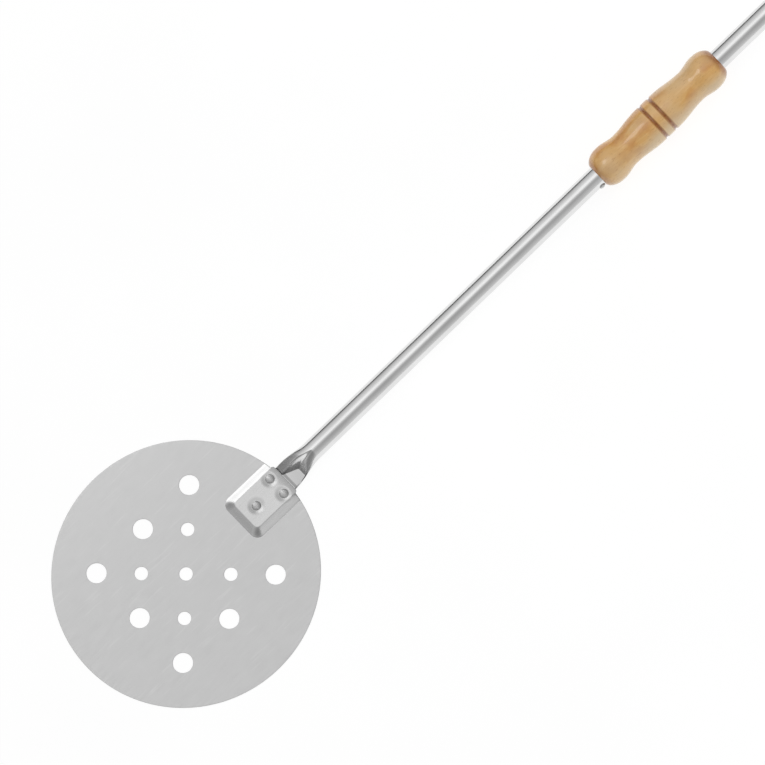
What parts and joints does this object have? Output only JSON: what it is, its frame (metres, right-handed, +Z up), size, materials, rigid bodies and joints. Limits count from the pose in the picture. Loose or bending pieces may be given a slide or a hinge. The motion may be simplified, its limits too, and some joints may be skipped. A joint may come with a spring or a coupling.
{
  "type": "pizza peel",
  "caption": "Turning peel: round perforated steel blade riveted to a tube pole, with a wooden grip that slides and turns on the pole and a wooden end grip.",
  "frame": {"origin": "centre of the blade's underside, on the surface that the peel lies on", "axes": "+X along the pole, from the blade to the end grip; +Z up, out of the blade's top face; +Y to the left of the pole"},
  "size_m": [1.2001, 0.2, 0.0466],
  "materials": {
    "blade_steel": "fine satin",
    "cover_steel": "polished",
    "pole_steel": "polished tube",
    "rivet_steel": "satin",
    "bush_plastic": "dark brown, plain",
    "grip_wood": "turned light wood, clear varnish"
  },
  "bodies": {
    "peel": {"blade": "blade_steel", "socket_cover": "cover_steel", "rivet_front": "rivet_steel", "rivet_left": "rivet_steel", "rivet_right": "rivet_steel", "pole": "pole_steel", "stop_rivet": "rivet_steel", "end_grip": "grip_wood", "end_grip_pin": "rivet_steel"},
    "grip_bushes": {"front_bush": "bush_plastic", "rear_bush": "bush_plastic"},
    "grip": {"sliding_grip": "grip_wood"}
  },
  "joints": [
    {"name": "grip_slide", "type": "slide", "parent": "peel", "child": "grip_bushes", "axis": [0.9997, 0, 0.0243], "range_m": [0, 0.4325]},
    {"name": "grip_turn", "type": "hinge", "parent": "grip_bushes", "child": "grip", "pos_m": [0.4815, 0, 0.01675], "axis": [0.9997, 0, 0.0243], "continuous": true}
  ]
}
